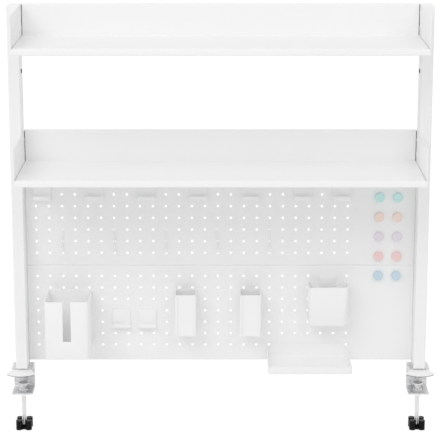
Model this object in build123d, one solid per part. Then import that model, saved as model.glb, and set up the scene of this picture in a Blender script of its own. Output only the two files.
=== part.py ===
from build123d import *
import math
import os

# A desk shelf that clamps onto the back edge of a desktop: two bent-sheet
# shelves between two posts, two pegboard panels under them, and small
# holders that plug into the pegboard. Millimetres. X runs to the right,
# Y away from the person at the desk, Z up. The origin is on the desktop, at
# its back edge, half way between the two clamps.

os.makedirs("parts", exist_ok=True)

# Shelves
shelf_depth = 200.0
shelf_wall_height = 67.0
shelf_lip_height = 13.0
shelf_lip_return = 8.0
shelf_sheet = 1.2
shelf_bend_radius = 1.6
end_panel_sheet = 1.5
end_panel_corner_radius = 2.0
shelf_above_board = 10.5
shelf_spacing = 270.0

# Posts
post_width = 25.0
post_depth = 50.0
post_wall = 1.5
post_corner_radius = 2.5
post_front_step = 40.0
cap_thickness = 2.5
cap_plug_depth = 12.0
cap_plug_wall = 2.0
cap_clearance = 0.1
cap_edge_radius = 1.0
foot_block_height = 20.0

# Pegboard. Its holes set the width of the shelves and the heights of the two panels.
board_lift = 7.0
board_sheet = 1.2
board_edge_radius = 2.0
hole_columns = 25
hole_rows = 7
hole_spacing_x = 28.0
hole_spacing_z = 26.0
hole_radius = 3.0
first_hole_from_edge = 22.5
plain_strip_width = 145.5
holes_above_bottom = 35.0
holes_below_joint = 24.0
holes_above_joint = 28.0
holes_below_top = 24.0

# Desk clamps
strap_width = 45.0
strap_thickness = 3.0
strap_bend_radius = 3.0
jaw_depth = 50.0
jaw_opening = 48.0
strap_flange_length = 44.0
plate_thickness = 3.0
plate_head_width = 62.0
plate_neck_end = 52.0
plate_tip = 69.0
plate_front = 84.0
plate_neck_fillet = 14.0
plate_tip_fillet = 2.5
plate_back_clearance = 0.4
pad_thickness = 1.5
pad_inset = 1.5
clamp_screw_from_edge = 24.0

# Clamp screw, its nut, swivel plate and knob
screw_radius = 5.0
screw_clearance = 0.05
screw_length = 96.0
desk_gap_at_rest = 32.0
nut_radius = 7.0
nut_flange_radius = 9.5
nut_flange_thickness = 2.0
nut_length = 14.0
swivel_radius = 11.0
swivel_thickness = 2.5
swivel_socket_radius = 7.0
swivel_socket_depth = 6.5
swivel_pin_radius = 3.5
swivel_pin_end_gap = 1.0
clamp_edge_chamfer = 0.5
knob_lobes = 4
knob_lobe_radius = 7.2
knob_lobe_centre = 14.3
knob_lobe_height = 21.0
knob_hub_radius = 12.0
knob_hub_height = 7.0
knob_collar_radius = 7.5
knob_collar_height = 2.0
knob_edge_radius = 1.5

# Fasteners
screw_head_roundness = 0.6
rivet_edge_distance = 14.0
shelf_screw_radius = 2.5
shelf_screw_head_radius = 4.75
shelf_screw_head_height = 1.6
shelf_screw_length = 12.0
shelf_screw_spacing = 30.0
board_screw_radius = 2.0
board_screw_head_radius = 3.8
board_screw_head_height = 2.0
board_screw_length = 9.0
board_screw_inset = 40.0
rivet_radius = 2.0
rivet_head_radius = 3.6
rivet_head_height = 1.2
rivet_tail_radius = 3.0
rivet_tail_height = 1.5
rivets_per_end = 3
spare_screw_below_shelf = 73.0
clamp_bolt_radius = 3.0
clamp_bolt_head_radius = 6.0
clamp_bolt_spacing = 22.0
clamp_bolt_reach = 16.0

# What hangs on the pegboard
peg_radius = 2.3
peg_length = 8.0
peg_tip_chamfer = 0.6
seat_gap = 0.3
holder_wall = 2.0

flat_hook_width = 38.0
flat_hook_height = 42.0
flat_hook_thickness = 3.0
flat_hook_reach = 14.0
flat_hook_lip = 9.0
flat_hook_top_above_peg = 4.0

wire_radius = 1.6
wire_bend_radius = 4.0
wire_drop = 44.0
wire_reach = 28.0
wire_tip_rise = 7.0
wire_ball_radius = 2.9

tissue_width = 95.0
tissue_depth = 100.0
tissue_height = 128.0
tissue_corner_radius = 9.0
tissue_slot_width = 17.0
tissue_slot_depth = 88.0
tissue_rim_above_peg = 22.0
tissue_peg_rows_apart = 3

pen_width = 46.0
pen_depth = 50.0
pen_height = 92.0
pen_corner_radius = 3.0
pen_border = 5.0
pen_recess = 2.5
pen_rim_above_peg = 22.0
pen_peg_rows_apart = 2

cup_top_width = 88.0
cup_top_depth = 52.0
cup_bottom_width = 82.0
cup_bottom_depth = 44.0
cup_height = 88.0
cup_corner_radius = 11.0
cup_rim_below_peg = 12.0
cup_tab_width = 36.0
cup_tab_thickness = 3.0
cup_tab_above_peg = 4.0
cup_tab_corner_radius = 2.0

tray_width = 178.0
tray_depth = 130.0
tray_height = 16.0
tray_corner_radius = 7.0
tray_rim_below_peg = 8.0
tray_tab_above_peg = 3.0
tray_peg_columns_apart = 4

magnet_radius = 10.0
magnet_thickness = 7.0
magnet_edge_radius = 1.2
magnet_spacing_x = 39.0
magnet_spacing_z = 43.6
first_magnet_from_hole = 67.5
lowest_magnet_below_joint = 22.5

# Sizes, levels and planes that follow from the sizes above
shelf_width = first_hole_from_edge + hole_spacing_x * (hole_columns - 1) + plain_strip_width
hole_field_height = hole_spacing_z * (hole_rows - 1)
lower_board_height = holes_above_bottom + hole_field_height + holes_below_joint
upper_board_height = holes_above_joint + hole_field_height + holes_below_top
strap_top = pad_thickness + plate_thickness + strap_thickness
post_bottom = strap_top
board_bottom = post_bottom + board_lift
joint_height = board_bottom + lower_board_height
board_top = joint_height + upper_board_height
lower_shelf_height = board_top + shelf_above_board + shelf_lip_height
upper_shelf_height = lower_shelf_height + shelf_spacing
post_top = upper_shelf_height + shelf_wall_height - cap_thickness
post_back = strap_thickness
post_front = post_back - post_depth
post_middle_y = (post_back + post_front) / 2
post_inner_x = shelf_width / 2
post_middle_x = post_inner_x + post_width / 2
face_y = post_front + post_front_step
flange_depth = post_back - face_y
spare_screw_height = upper_shelf_height - spare_screw_below_shelf
jaw_bottom = -jaw_opening
screw_y = -clamp_screw_from_edge
screw_top = -desk_gap_at_rest - swivel_thickness
holder_back = face_y - seat_gap

CENTRE_BOTTOM = (Align.CENTER, Align.CENTER, Align.MIN)


def column_x(index):
    """Middle of a pegboard column, counted from the left."""
    return -shelf_width / 2 + first_hole_from_edge + hole_spacing_x * index


def row_z(index):
    """Middle of a pegboard row, counted from the lowest one."""
    if index < hole_rows:
        return joint_height - holes_below_joint - hole_spacing_z * (hole_rows - 1 - index)
    return joint_height + holes_above_joint + hole_spacing_z * (index - hole_rows)


def rod(radius, start, end):
    """A round bar between two points."""
    way = Vector(*end) - Vector(*start)
    return extrude(Plane(origin=start, z_dir=way) * Circle(radius), amount=way.length)


def bent_sheet(points, thickness, bend_radius, width, middle_x=0.0):
    """Sheet bent along a Y, Z line through its mid thickness, as wide as asked along X."""
    line = FilletPolyline(*points, radius=bend_radius)
    profile = trace(line, line_width=thickness)
    start = Plane(origin=(middle_x - width / 2, 0, 0), x_dir=(0, 1, 0), z_dir=(1, 0, 0))
    return extrude(start * profile, amount=width)


def round_head_screw(side, y, z, inner_x, head, length, radius, head_radius):
    """A screw along X: its head lies on the inner side of inner_x and it points outward."""
    shank = rod(radius, (side * inner_x, y, z), (side * (inner_x + length), y, z))
    cap = rod(head_radius, (side * (inner_x - head), y, z), (side * inner_x, y, z))
    rim = cap.edges().filter_by(GeomType.CIRCLE).sort_by(Axis.X)
    rim = rim[0] if side > 0 else rim[-1]
    return shank + fillet(rim, head * screw_head_roundness)


def save(name, shape):
    """Writes one node. A list of solids becomes one group."""
    if isinstance(shape, list):
        solids = [solid for piece in shape for solid in piece.solids()]
        shape = Compound(children=solids)
    export_step(shape, f"parts/{name}.step")


# Posts

def shelf_screw_places():
    """Y and Z of the screws that hold the shelves to a post."""
    places = []
    for floor in (lower_shelf_height, upper_shelf_height):
        middle = floor + shelf_wall_height / 2
        for step in (-0.5, 0.5):
            places.append((post_middle_y, middle + step * shelf_screw_spacing))
    return places


def board_screw_places():
    """Y and Z of the screws that hold the pegboard panels to a post."""
    y = (face_y + board_sheet + post_back) / 2
    panels = ((board_bottom, lower_board_height), (joint_height, upper_board_height))
    places = []
    for bottom, height in panels:
        places.append((y, bottom + board_screw_inset))
        places.append((y, bottom + height - board_screw_inset))
    return places


def post(side):
    height = post_top - post_bottom
    middle = Pos(side * post_middle_x, post_middle_y, post_bottom)
    outside = extrude(RectangleRounded(post_width, post_depth, post_corner_radius), amount=height)
    inside = extrude(
        RectangleRounded(
            post_width - 2 * post_wall, post_depth - 2 * post_wall, post_corner_radius - post_wall
        ),
        amount=height,
    )
    tube = middle * (outside - inside)
    inner = side * post_inner_x
    through = side * (post_inner_x + post_wall * 2)
    holes = [(y, z, shelf_screw_radius) for y, z in shelf_screw_places()]
    holes += [(y, z, board_screw_radius) for y, z in board_screw_places()]
    holes.append((post_middle_y, spare_screw_height, shelf_screw_radius))
    for y, z, radius in holes:
        tube -= rod(radius, (inner, y, z), (through, y, z))
    return tube


def post_cap(side):
    top = extrude(
        RectangleRounded(post_width, post_depth, post_corner_radius), amount=cap_thickness
    )
    top = fillet(top.faces().sort_by(Axis.Z)[-1].edges(), cap_edge_radius)
    plug_width = post_width - 2 * post_wall - 2 * cap_clearance
    plug_depth = post_depth - 2 * post_wall - 2 * cap_clearance
    plug_radius = post_corner_radius - post_wall
    plug = extrude(RectangleRounded(plug_width, plug_depth, plug_radius), amount=-cap_plug_depth)
    hollow = Rectangle(plug_width - 2 * cap_plug_wall, plug_depth - 2 * cap_plug_wall)
    plug -= extrude(hollow, amount=-cap_plug_depth)
    return Pos(side * post_middle_x, post_middle_y, post_top) * (top + plug)


def foot_block(side):
    block = extrude(
        RectangleRounded(
            post_width - 2 * post_wall, post_depth - 2 * post_wall, post_corner_radius - post_wall
        ),
        amount=foot_block_height,
    )
    block = Pos(side * post_middle_x, post_middle_y, post_bottom) * block
    for y in clamp_bolt_rows():
        x = side * post_middle_x
        block -= rod(clamp_bolt_radius, (x, y, post_bottom), (x, y, post_bottom + foot_block_height))
    return block


# Shelves

def shelf_tray(floor):
    """Back wall, floor and front lip, bent from one sheet, with a skirt at each end."""
    half = shelf_sheet / 2
    top = floor + shelf_wall_height - half
    front = face_y - shelf_depth + half
    low = floor - shelf_lip_height + half
    line = (
        (post_back, top),
        (face_y + half, top),
        (face_y + half, floor - half),
        (front, floor - half),
        (front, low),
        (front + shelf_lip_return, low),
    )
    width = shelf_width - 2 * end_panel_sheet
    tray = bent_sheet(line, shelf_sheet, shelf_bend_radius, width)
    skirt_length = shelf_depth - 2 * shelf_bend_radius - 2 * shelf_sheet
    for side in (-1, 1):
        skirt = Box(
            shelf_sheet,
            skirt_length,
            shelf_lip_height,
            align=(Align.CENTER, Align.CENTER, Align.MAX),
        )
        x = side * (width / 2 - shelf_sheet / 2)
        tray += Pos(x, face_y - shelf_depth / 2, floor) * skirt
        for y in rivet_rows():
            z = floor - shelf_lip_height / 2 - shelf_sheet / 2
            start = (side * (width / 2 - shelf_sheet), y, z)
            tray -= rod(rivet_radius, start, (side * width / 2, y, z))
    return tray


def rivet_rows():
    """Y of the rivets that join a tray to its end panel, clear of the post."""
    first = post_front - rivet_edge_distance
    last = face_y - shelf_depth + rivet_edge_distance
    step = (last - first) / (rivets_per_end - 1)
    return [first + step * i for i in range(rivets_per_end)]


def end_panel(side, floor):
    bottom = floor - shelf_lip_height
    height = shelf_lip_height + shelf_wall_height
    front = face_y - shelf_depth
    length = post_back - front
    inner = side * (post_inner_x - end_panel_sheet)
    outer = side * post_inner_x
    panel = Box(end_panel_sheet, length, height, align=(Align.CENTER, Align.MIN, Align.MIN))
    panel = Pos((inner + outer) / 2, front, bottom) * panel
    corners = panel.edges().filter_by(Axis.X).group_by(Axis.Y)[0]
    panel = fillet(corners, end_panel_corner_radius)
    for y, z in shelf_screw_places():
        if bottom < z < bottom + height:
            panel -= rod(shelf_screw_radius, (inner, y, z), (outer, y, z))
    for y in rivet_rows():
        z = floor - shelf_lip_height / 2 - shelf_sheet / 2
        panel -= rod(rivet_radius, (inner, y, z), (outer, y, z))
    return panel


def shelf_screws():
    screws = []
    for side in (-1, 1):
        for y, z in shelf_screw_places():
            screws.append(
                round_head_screw(
                    side, y, z, post_inner_x - end_panel_sheet, shelf_screw_head_height,
                    shelf_screw_length, shelf_screw_radius, shelf_screw_head_radius,
                )
            )
    return screws


def spare_hole_screws():
    return [
        round_head_screw(
            side, post_middle_y, spare_screw_height, post_inner_x, shelf_screw_head_height,
            shelf_screw_length, shelf_screw_radius, shelf_screw_head_radius,
        )
        for side in (-1, 1)
    ]


def shelf_rivets():
    rivets = []
    grip = end_panel_sheet + shelf_sheet
    for floor in (lower_shelf_height, upper_shelf_height):
        z = floor - shelf_lip_height / 2 - shelf_sheet / 2
        for side in (-1, 1):
            outer = post_inner_x
            for y in rivet_rows():
                head = rod(rivet_head_radius, (side * outer, y, z),
                           (side * (outer + rivet_head_height), y, z))
                shank = rod(rivet_radius, (side * (outer - grip), y, z), (side * outer, y, z))
                tail = rod(rivet_tail_radius, (side * (outer - grip - rivet_tail_height), y, z),
                           (side * (outer - grip), y, z))
                rivets.append(head + shank + tail)
    return rivets


# Pegboard

def pegboard(bottom, height, first_row):
    """A panel with its four edges folded back, holed all over but for a strip at the right."""
    shell = Box(shelf_width, flange_depth, height, align=(Align.CENTER, Align.MIN, Align.MIN))
    front = shell.faces().sort_by(Axis.Y)[0]
    shell = fillet(front.edges(), board_edge_radius)
    inside = Box(
        shelf_width - 2 * board_sheet,
        flange_depth - board_sheet,
        height - 2 * board_sheet,
        align=(Align.CENTER, Align.MIN, Align.MIN),
    )
    inside = Pos(0, board_sheet, board_sheet) * inside
    front = inside.faces().sort_by(Axis.Y)[0]
    inside = fillet(front.edges(), board_edge_radius - board_sheet)
    panel = Pos(0, face_y, bottom) * (shell - inside)
    punch = Cylinder(hole_radius, board_sheet * 3, rotation=(90, 0, 0))
    panel -= [
        Pos(column_x(column), face_y, row_z(first_row + row)) * punch
        for column in range(hole_columns)
        for row in range(hole_rows)
    ]
    for side in (-1, 1):
        inner = side * (post_inner_x - board_sheet)
        for y, z in board_screw_places():
            if bottom < z < bottom + height:
                panel -= rod(board_screw_radius, (inner, y, z), (side * post_inner_x, y, z))
    return panel


def pegboard_screws():
    return [
        round_head_screw(
            side, y, z, post_inner_x - board_sheet, board_screw_head_height,
            board_screw_length, board_screw_radius, board_screw_head_radius,
        )
        for side in (-1, 1)
        for y, z in board_screw_places()
    ]


# Desk clamps

def clamp_bolt_rows():
    return [post_middle_y + step * clamp_bolt_spacing for step in (-0.5, 0.5)]


def plate_outline(inset=0.0):
    """Fan-shaped outline of the top plate: a neck, two flared sides and an arched front."""
    neck = strap_width / 2 - inset
    head = plate_head_width / 2 - inset
    back = -strap_bend_radius + strap_thickness / 2 - plate_back_clearance - inset
    corners = Polyline(
        (head, -plate_tip), (neck, -plate_neck_end), (neck, back),
        (-neck, back), (-neck, -plate_neck_end), (-head, -plate_tip),
    )
    arch = ThreePointArc((-head, -plate_tip), (0, -plate_front + inset), (head, -plate_tip))
    outline = make_face(corners + arch)
    near_neck = [v for v in outline.vertices() if abs(v.Y + plate_neck_end) < 0.01]
    outline = fillet(near_neck, plate_neck_fillet)
    tips = [v for v in outline.vertices() if abs(v.Y + plate_tip) < 0.01]
    return fillet(tips, plate_tip_fillet)


def clamp_plate(side):
    x = side * post_middle_x
    plate = Pos(x, 0, pad_thickness) * extrude(plate_outline(), amount=plate_thickness)
    for y in clamp_bolt_rows():
        head = Cone(
            clamp_bolt_head_radius, clamp_bolt_radius, plate_thickness, align=CENTRE_BOTTOM
        )
        plate -= Pos(x, y, pad_thickness) * head
    return plate


def desk_pad(side):
    pad = extrude(plate_outline(pad_inset), amount=pad_thickness)
    return Pos(side * post_middle_x, 0, 0) * pad


def clamp_bracket(side):
    """The C-shaped strap: a flange under the post, a back and the arm below the desktop."""
    x = side * post_middle_x
    half = strap_thickness / 2
    line = (
        (-strap_flange_length, strap_top - half),
        (half, strap_top - half),
        (half, jaw_bottom - half),
        (-jaw_depth, jaw_bottom - half),
    )
    strap = bent_sheet(line, strap_thickness, strap_bend_radius, strap_width, x)
    for y in clamp_bolt_rows():
        strap -= rod(clamp_bolt_radius, (x, y, strap_top - strap_thickness), (x, y, strap_top))
    strap -= rod(nut_radius, (x, screw_y, jaw_bottom - strap_thickness), (x, screw_y, jaw_bottom))
    return strap


def clamp_nut(side):
    nut = Cylinder(nut_flange_radius, nut_flange_thickness, align=CENTRE_BOTTOM)
    barrel = Cylinder(nut_radius, nut_length, align=(Align.CENTER, Align.CENTER, Align.MAX))
    rim = nut.edges().filter_by(GeomType.CIRCLE).sort_by(Axis.Z)[-1]
    nut = chamfer(rim, clamp_edge_chamfer) + barrel
    nut = Pos(side * post_middle_x, screw_y, jaw_bottom) * nut
    bore = Cylinder(screw_radius + screw_clearance, 4 * nut_length)
    return nut - Pos(side * post_middle_x, screw_y, jaw_bottom) * bore


def clamp_bolts():
    bolts = []
    for side in (-1, 1):
        for y in clamp_bolt_rows():
            head = Cone(
                clamp_bolt_head_radius, clamp_bolt_radius, plate_thickness, align=CENTRE_BOTTOM
            )
            length = post_bottom - pad_thickness + clamp_bolt_reach
            shank = Cylinder(clamp_bolt_radius, length, align=CENTRE_BOTTOM)
            bolts.append(Pos(side * post_middle_x, y, pad_thickness) * (head + shank))
    return bolts


def clamp_screw(side):
    """The threaded rod, with a thinner pin in the swivel plate's socket."""
    rod_top = screw_top - swivel_socket_depth - seat_gap
    low = rod_top - screw_length
    body = Cylinder(screw_radius, screw_length, align=CENTRE_BOTTOM)
    body = chamfer(body.edges().filter_by(GeomType.CIRCLE), clamp_edge_chamfer)
    pin_length = seat_gap + swivel_socket_depth - swivel_pin_end_gap
    pin = Cylinder(swivel_pin_radius, pin_length, align=CENTRE_BOTTOM)
    return Pos(side * post_middle_x, screw_y, low) * (body + Pos(0, 0, screw_length) * pin)


def swivel_plate(side):
    """The round plate that presses on the desktop from below, with its socket."""
    disc = Cylinder(swivel_radius, swivel_thickness, align=CENTRE_BOTTOM)
    disc = chamfer(disc.edges().filter_by(GeomType.CIRCLE), clamp_edge_chamfer)
    socket = Cylinder(
        swivel_socket_radius, swivel_socket_depth, align=(Align.CENTER, Align.CENTER, Align.MAX)
    )
    bore = Cylinder(
        swivel_pin_radius + screw_clearance, swivel_socket_depth,
        align=(Align.CENTER, Align.CENTER, Align.MAX),
    )
    return Pos(side * post_middle_x, screw_y, screw_top) * (disc + socket - bore)


def clamp_knob(side):
    """A knob moulded on the low end of the threaded rod: upright lobes round a lower hub."""
    rod_low = screw_top - swivel_socket_depth - seat_gap - screw_length
    body = Cylinder(knob_hub_radius, knob_hub_height, align=CENTRE_BOTTOM)
    for i in range(knob_lobes):
        turn = 2 * math.pi * (i + 0.5) / knob_lobes
        x = knob_lobe_centre * math.cos(turn)
        y = knob_lobe_centre * math.sin(turn)
        body += Pos(x, y) * Cylinder(knob_lobe_radius, knob_lobe_height, align=CENTRE_BOTTOM)
    faces = body.faces().filter_by(Axis.Z).group_by(Axis.Z)
    body = fillet(faces[0].edges() + faces[-1].edges(), knob_edge_radius)
    collar_height = knob_hub_height + knob_collar_height
    body += Cylinder(knob_collar_radius, collar_height, align=CENTRE_BOTTOM)
    hole = Cylinder(screw_radius, knob_lobe_height, align=CENTRE_BOTTOM)
    return Pos(side * post_middle_x, screw_y, rod_low) * (body - hole)


# Holders and hooks on the pegboard

def pegs(columns, rows):
    """Round pegs that stand through pegboard holes, given as column and row numbers."""
    made = []
    for column in columns:
        for row in rows:
            x = column_x(column)
            z = row_z(row)
            peg = rod(peg_radius, (x, holder_back, z), (x, holder_back + peg_length, z))
            tip = peg.edges().filter_by(GeomType.CIRCLE).sort_by(Axis.Y)[-1]
            made.append(chamfer(tip, peg_tip_chamfer))
    return made


def flat_hook(column, row):
    """A wide J-shaped hook over two columns, its upper pegs in the given row."""
    half = flat_hook_thickness / 2
    middle = (column_x(column) + column_x(column + 1)) / 2
    top = row_z(row) + flat_hook_top_above_peg
    low = top - flat_hook_height + half
    back = holder_back - half
    front = holder_back - flat_hook_reach + half
    line = ((back, top), (back, low), (front, low), (front, low + flat_hook_lip))
    hook = bent_sheet(line, flat_hook_thickness, flat_hook_thickness, flat_hook_width, middle)
    for peg in pegs((column, column + 1), (row, row - 1)):
        hook += peg
    return hook


def long_hook(column, row):
    """A bent wire hook: in through the hole, down, out to a short upturned end with a ball."""
    x = column_x(column)
    z = row_z(row)
    y = holder_back - wire_radius
    low = z - wire_drop
    end = y - wire_reach
    line = FilletPolyline(
        (x, holder_back + peg_length, z), (x, y, z), (x, y, low), (x, end, low),
        (x, end, low + wire_tip_rise), radius=wire_bend_radius,
    )
    start = Plane(origin=line @ 0, z_dir=line % 0)
    wire = sweep(start * Circle(wire_radius), path=line)
    return wire + Pos(x, end, low + wire_tip_rise) * Sphere(wire_ball_radius)


def open_box(width, depth, height, radius, wall):
    """A box with rounded upright corners, closed below and open above."""
    outside = extrude(RectangleRounded(width, depth, radius), amount=height)
    outside = fillet(outside.faces().sort_by(Axis.Z)[0].edges(), wall / 2)
    inside = extrude(
        RectangleRounded(width - 2 * wall, depth - 2 * wall, max(radius - wall, wall / 4)),
        amount=height - wall,
    )
    return outside - Pos(0, 0, wall) * inside


def tissue_box():
    row = 4
    middle = (column_x(2) + column_x(3)) / 2
    top = row_z(row) + tissue_rim_above_peg
    box = open_box(tissue_width, tissue_depth, tissue_height, tissue_corner_radius, holder_wall)
    slot = Pos(0, -tissue_depth / 2, tissue_height - tissue_slot_depth) * Box(
        tissue_slot_width, 4 * holder_wall, tissue_slot_depth, align=CENTRE_BOTTOM
    )
    box -= slot
    box = Pos(middle, holder_back - tissue_depth / 2, top - tissue_height) * box
    for peg in pegs((2, 3), (row, row - tissue_peg_rows_apart)):
        box += peg
    return box


def pen_box(column):
    """A slim box whose front is sunk between two raised borders."""
    row = 4
    middle = (column_x(column) + column_x(column + 1)) / 2
    top = row_z(row) + pen_rim_above_peg
    box = open_box(pen_width, pen_depth, pen_height, pen_corner_radius, holder_wall)
    sunk = Box(
        pen_width - 2 * pen_border, pen_recess, pen_height,
        align=(Align.CENTER, Align.MIN, Align.MIN),
    )
    wall = Pos(0, -pen_depth / 2 + pen_recess, 0) * Box(
        pen_width - 2 * holder_wall, holder_wall, pen_height,
        align=(Align.CENTER, Align.MIN, Align.MIN),
    )
    box = box + wall - Pos(0, -pen_depth / 2, 0) * sunk
    box = Pos(middle, holder_back - pen_depth / 2, top - pen_height) * box
    for peg in pegs((column, column + 1), (row, row - pen_peg_rows_apart)):
        box += peg
    return box


def cup_shape(shrink, bottom):
    """The tapering body of the cup, made smaller all round by shrink and closed at bottom."""
    share = bottom / cup_height
    low_width = cup_bottom_width + (cup_top_width - cup_bottom_width) * share
    low_depth = cup_bottom_depth + (cup_top_depth - cup_bottom_depth) * share
    low_back = (low_depth - cup_top_depth) / 2
    low = RectangleRounded(
        low_width - 2 * shrink, low_depth - 2 * shrink, cup_corner_radius - shrink
    )
    high = RectangleRounded(
        cup_top_width - 2 * shrink, cup_top_depth - 2 * shrink, cup_corner_radius - shrink
    )
    return loft([Pos(0, -low_back, bottom) * low, Pos(0, 0, cup_height) * high])


def cup():
    """A tapering cup with a straight back, hung from a tab."""
    row = 6
    middle = (column_x(22) + column_x(23)) / 2
    peg_height = row_z(row)
    rim = peg_height - cup_rim_below_peg
    body = cup_shape(0, 0) - cup_shape(holder_wall, holder_wall)
    body = Pos(middle, holder_back - cup_top_depth / 2, rim - cup_height) * body
    tab_height = cup_rim_below_peg + cup_tab_above_peg + cup_corner_radius
    tab = Box(cup_tab_width, cup_tab_thickness, tab_height,
              align=(Align.CENTER, Align.MAX, Align.MAX))
    tab = fillet(tab.edges().filter_by(Axis.Y).group_by(Axis.Z)[-1], cup_tab_corner_radius)
    body += Pos(middle, holder_back, peg_height + cup_tab_above_peg) * tab
    for peg in pegs((22, 23), (row,)):
        body += peg
    return body


def tray():
    """A shallow tray with a raised back edge that carries its pegs."""
    row = 0
    first = 19
    last = first + tray_peg_columns_apart
    middle = (column_x(first) + column_x(last)) / 2
    rim = row_z(row) - tray_rim_below_peg
    box = open_box(tray_width, tray_depth, tray_height, tray_corner_radius, holder_wall)
    box = Pos(middle, holder_back - tray_depth / 2, rim - tray_height) * box
    back_height = tray_rim_below_peg + tray_tab_above_peg + tray_height / 2
    back = Box(
        tray_width - 2 * tray_corner_radius, holder_wall, back_height,
        align=(Align.CENTER, Align.MAX, Align.MAX),
    )
    box += Pos(middle, holder_back, row_z(row) + tray_tab_above_peg) * back
    for peg in pegs((first, last), (row,)):
        box += peg
    return box


def magnet(column, row):
    """A round magnet with a plastic shell, held flat on the unholed strip."""
    x = column_x(hole_columns - 1) + first_magnet_from_hole + column * magnet_spacing_x
    z = joint_height - lowest_magnet_below_joint + row * magnet_spacing_z
    disc = rod(magnet_radius, (x, holder_back, z), (x, holder_back - magnet_thickness, z))
    front = disc.edges().filter_by(GeomType.CIRCLE).sort_by(Axis.Y)[0]
    return fillet(front, magnet_edge_radius)


SIDES = (("left", -1), ("right", 1))
SHELVES = (("upper", upper_shelf_height), ("lower", lower_shelf_height))
FLAT_HOOKS = ((0, 13), (4, 13), (8, 13), (12, 13), (16, 13), (20, 13), (23, 13), (6, 3), (8, 3))
LONG_HOOK_COLUMNS = (2, 6, 10, 14, 18)
LONG_HOOK_ROW = 9
MAGNET_COLOURS = ("blue", "red", "lilac", "peach", "teal")

for name, side in SIDES:
    save(f"{name}_post", post(side))
    save(f"{name}_clamp_plate", clamp_plate(side))
    save(f"{name}_clamp_bracket", clamp_bracket(side))
    save(f"{name}_clamp_screw", clamp_screw(side))
    save(f"{name}_swivel_plate", swivel_plate(side))
    save(f"{name}_clamp_knob", clamp_knob(side))
    for level, floor in SHELVES:
        save(f"{level}_{name}_end_panel", end_panel(side, floor))
save("post_caps", [post_cap(side) for _, side in SIDES])
save("foot_blocks", [foot_block(side) for _, side in SIDES])
save("desk_pads", [desk_pad(side) for _, side in SIDES])
save("clamp_nuts", [clamp_nut(side) for _, side in SIDES])
save("clamp_bolts", clamp_bolts())
for level, floor in SHELVES:
    save(f"{level}_shelf_tray", shelf_tray(floor))
save("shelf_screws", shelf_screws())
save("spare_hole_screws", spare_hole_screws())
save("shelf_rivets", shelf_rivets())
save("lower_pegboard", pegboard(board_bottom, lower_board_height, 0))
save("upper_pegboard", pegboard(joint_height, upper_board_height, hole_rows))
save("pegboard_screws", pegboard_screws())
for number, (column, row) in enumerate(FLAT_HOOKS, 1):
    save(f"flat_hook_{number}", flat_hook(column, row))
for number, column in enumerate(LONG_HOOK_COLUMNS, 1):
    save(f"long_hook_{number}", long_hook(column, LONG_HOOK_ROW))
save("tissue_box", tissue_box())
save("left_pen_box", pen_box(11))
save("right_pen_box", pen_box(16))
save("cup", cup())
save("tray", tray())
for row, colour in enumerate(MAGNET_COLOURS):
    for column, (name, _) in enumerate(SIDES):
        save(f"{colour}_{name}_magnet", magnet(column, row))
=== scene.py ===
# %% [markdown]
# # A desk shelf that clamps onto the back of a desk
#
# The metal frame, its joints and all its sizes come from the CAD model. This lesson gives them
# their finishes, remodels the small parts with softer edges, threads and sockets, and sets up the
# camera, the floor and the lamps. X runs to the right, Y to the back and Z up. Blender counts in
# metres, and the sizes below are written in millimetres.

import math

import bmesh
import bpy
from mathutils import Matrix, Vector


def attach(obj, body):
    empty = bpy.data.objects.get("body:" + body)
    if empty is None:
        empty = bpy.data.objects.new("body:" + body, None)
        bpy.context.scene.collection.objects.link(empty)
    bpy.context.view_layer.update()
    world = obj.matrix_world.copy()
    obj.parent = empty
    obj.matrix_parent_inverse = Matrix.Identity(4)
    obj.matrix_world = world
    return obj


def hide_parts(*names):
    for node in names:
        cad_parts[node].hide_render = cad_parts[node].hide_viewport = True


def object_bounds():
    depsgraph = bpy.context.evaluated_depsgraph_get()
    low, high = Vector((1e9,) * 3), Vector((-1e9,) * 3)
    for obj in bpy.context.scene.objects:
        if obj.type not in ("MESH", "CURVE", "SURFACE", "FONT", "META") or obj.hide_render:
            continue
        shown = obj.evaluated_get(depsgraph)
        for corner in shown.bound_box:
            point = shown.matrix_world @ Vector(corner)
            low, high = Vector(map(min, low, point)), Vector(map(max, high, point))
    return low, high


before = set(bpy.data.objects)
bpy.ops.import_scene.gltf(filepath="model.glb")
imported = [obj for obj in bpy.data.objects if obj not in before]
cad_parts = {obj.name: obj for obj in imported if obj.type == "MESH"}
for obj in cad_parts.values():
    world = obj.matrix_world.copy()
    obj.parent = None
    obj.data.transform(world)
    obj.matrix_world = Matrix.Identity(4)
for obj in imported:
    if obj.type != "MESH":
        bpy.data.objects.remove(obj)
first_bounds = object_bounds()
print("corners", [tuple(round(v, 4) for v in corner) for corner in first_bounds])

# %% [markdown]
# ## Small tools for working by hand
#
# Blender's operators act on whatever is selected, so each step first selects exactly what it needs.
# `only` picks objects, `pick` picks vertices, edges or faces by a test on their place or normal,
# and `soften` rounds the sharp edges, which is what makes a modelled part catch the light.

# %% Selecting and editing
MM = 0.001
MERGE_WITHIN = 0.001 * MM
SMOOTH_BELOW = math.radians(32)
SHARP_ABOVE = math.radians(35)


def metres(point):
    return tuple(MM * part for part in point)


def only(*objects):
    """Object mode, with just these objects selected and the first one active."""
    active = bpy.context.view_layer.objects.active
    if active and active.mode != "OBJECT":
        bpy.ops.object.mode_set(mode="OBJECT")
    bpy.ops.object.select_all(action="DESELECT")
    for obj in objects:
        obj.select_set(True)
    bpy.context.view_layer.objects.active = objects[0]


def edit(obj):
    """Edit mode on one object, with its own moves already in its mesh."""
    only(obj)
    bpy.ops.object.transform_apply(location=True, rotation=True, scale=True)
    bpy.ops.object.mode_set(mode="EDIT")


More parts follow.
